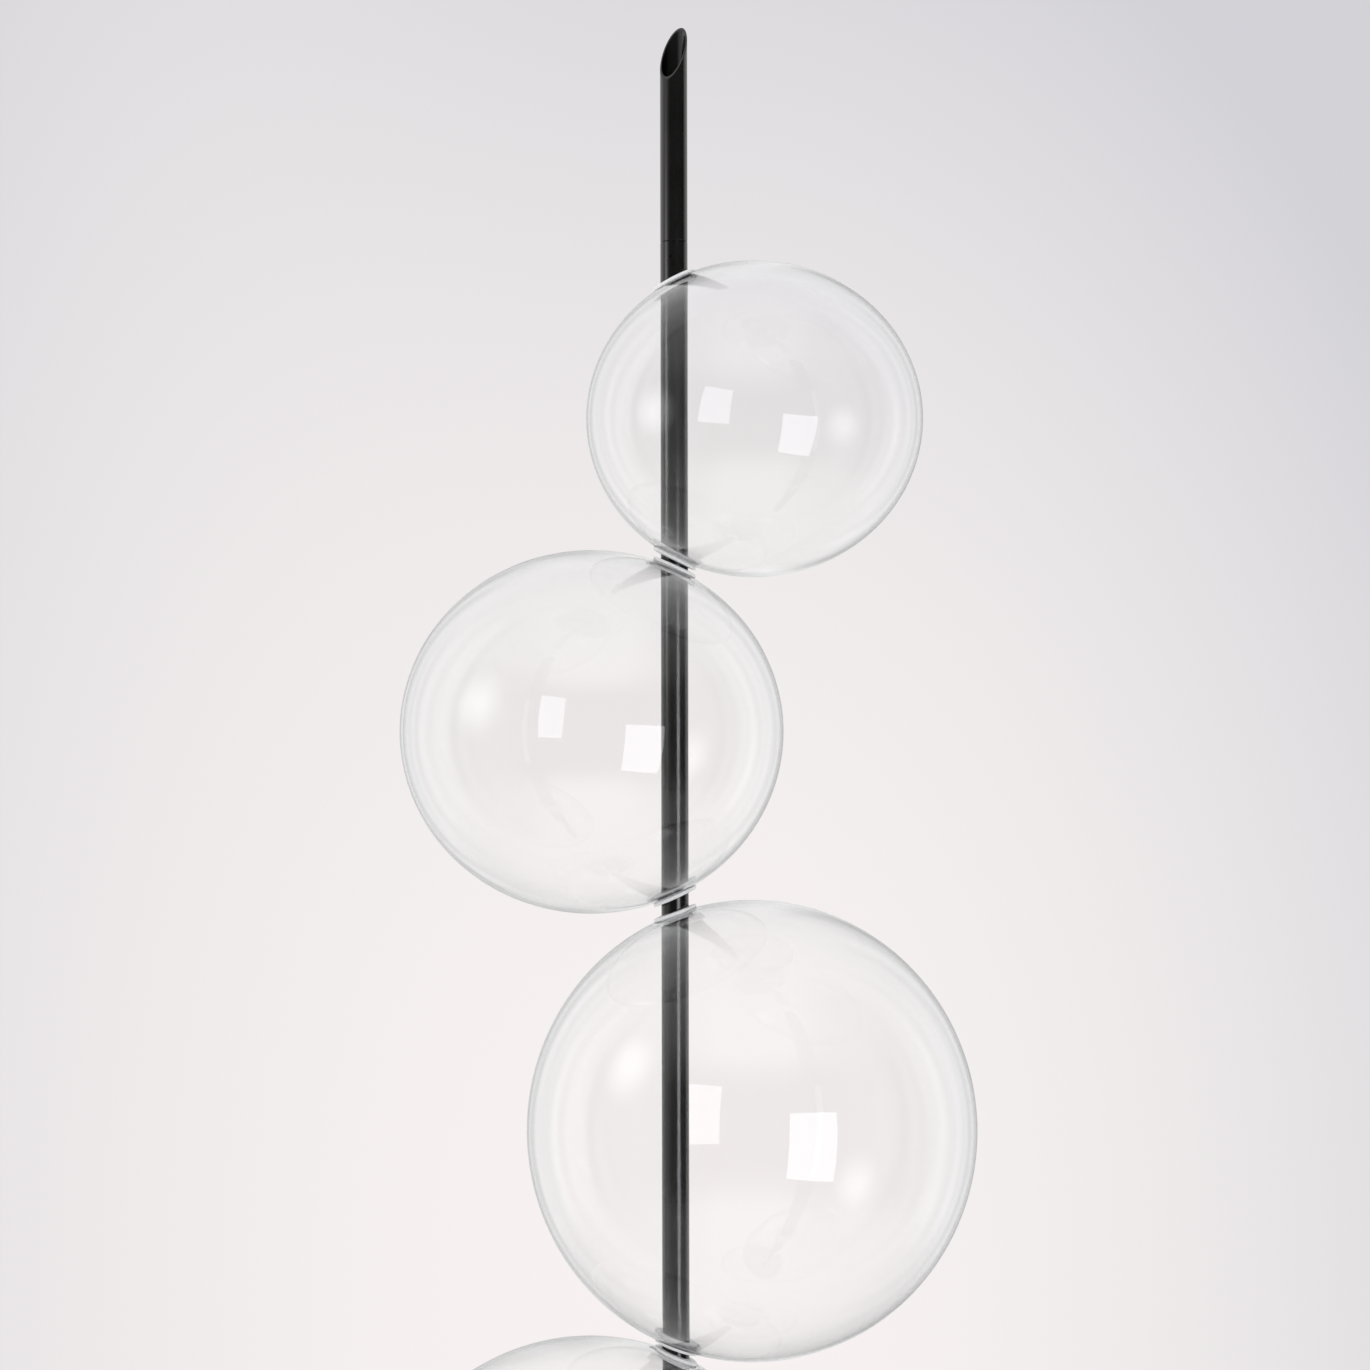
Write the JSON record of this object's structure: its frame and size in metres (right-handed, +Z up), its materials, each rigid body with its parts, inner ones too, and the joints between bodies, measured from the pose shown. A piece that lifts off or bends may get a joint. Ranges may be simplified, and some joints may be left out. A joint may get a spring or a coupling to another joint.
{
  "type": "floor lamp",
  "caption": "Tall floor lamp: clear blown-glass globes threaded off-centre, right and left by turns, on a slim dark tube with a slanted open top, over a weighted round base.",
  "frame": {"origin": "middle of the foot pad's underside, on the axis of the tube", "axes": "+Z up along the tube, +X to the right of the picture's view, -Y towards the camera"},
  "size_m": [0.4795, 0.367, 2.1004],
  "materials": {
    "clear_glass": "clear blown glass, thin and smooth",
    "clear_plastic": "clear, smooth",
    "dark_bronze": "near-black bronze, soft sheen",
    "dark_steel": "blackened",
    "steel": "zinc plated",
    "cast_iron": "as cast, painted",
    "aluminium": "drawn",
    "driver_case": "moulded",
    "board": "white solder mask",
    "diffuser": "milky",
    "black_plastic": "moulded",
    "white_plastic": "moulded",
    "wire_cover": "smooth",
    "rubber": "felt-like, dull"
  },
  "bodies": {
    "stand": {"ballast_disc": "cast_iron", "base_cover": "dark_bronze", "base_plate": "steel", "base_plate_screws": "steel", "cord_inlet": "black_plastic", "coupler_screws": "dark_steel", "cover_ring": "dark_bronze", "finial_tube": "dark_bronze", "foot_pad": "rubber", "globe_1_diffuser": "diffuser", "globe_1_led_board": "board", "globe_1_light_carrier": "aluminium", "globe_2_diffuser": "diffuser", "globe_2_led_board": "board", "globe_2_light_carrier": "aluminium", "globe_3_diffuser": "diffuser", "globe_3_led_board": "board", "globe_3_light_carrier": "aluminium", "globe_4_diffuser": "diffuser", "globe_4_led_board": "board", "globe_4_light_carrier": "aluminium", "globe_5_diffuser": "diffuser", "globe_5_led_board": "board", "globe_5_light_carrier": "aluminium", "globe_studs": "steel", "led_driver": "driver_case", "lower_coupler": "steel", "lower_tube": "dark_bronze", "main_tube": "dark_bronze", "socket_grub_screws": "dark_steel", "socket_screws": "steel", "stem_socket": "dark_bronze", "switch_body": "black_plastic", "switch_lead": "wire_cover", "upper_coupler": "steel", "wiring_loom": "wire_cover"},
    "globe_1": {"globe_1": "clear_glass", "globe_1_upper_seal": "clear_plastic", "globe_1_lower_seal": "clear_plastic"},
    "globe_2": {"globe_2": "clear_glass", "globe_2_upper_seal": "clear_plastic", "globe_2_lower_seal": "clear_plastic"},
    "globe_3": {"globe_3": "clear_glass", "globe_3_upper_seal": "clear_plastic", "globe_3_lower_seal": "clear_plastic"},
    "globe_4": {"globe_4": "clear_glass", "globe_4_upper_seal": "clear_plastic", "globe_4_lower_seal": "clear_plastic"},
    "globe_5": {"globe_5": "clear_glass", "globe_5_upper_seal": "clear_plastic", "globe_5_lower_seal": "clear_plastic"},
    "foot_cap": {"foot_button": "dark_bronze", "switch_plunger": "white_plastic"}
  },
  "joints": [
    {"name": "globe_1_turn", "type": "hinge", "parent": "stand", "child": "globe_1", "pos_m": [0, 0, 0], "axis": [0, 0, 1], "range_deg": [-10, 10]},
    {"name": "globe_2_turn", "type": "hinge", "parent": "stand", "child": "globe_2", "pos_m": [0, 0, 0], "axis": [0, 0, 1], "range_deg": [-10, 10]},
    {"name": "globe_3_turn", "type": "hinge", "parent": "stand", "child": "globe_3", "pos_m": [0, 0, 0], "axis": [0, 0, 1], "range_deg": [-10, 10]},
    {"name": "globe_4_turn", "type": "hinge", "parent": "stand", "child": "globe_4", "pos_m": [0, 0, 0], "axis": [0, 0, 1], "range_deg": [-10, 10]},
    {"name": "globe_5_turn", "type": "hinge", "parent": "stand", "child": "globe_5", "pos_m": [0, 0, 0], "axis": [0, 0, 1], "range_deg": [-10, 10]},
    {"name": "foot_cap_press", "type": "slide", "parent": "stand", "child": "foot_cap", "axis": [0, 0, -1], "range_m": [0, 0.003], "stiffness_N_per_m": 1000, "springref_m": -0.002}
  ]
}
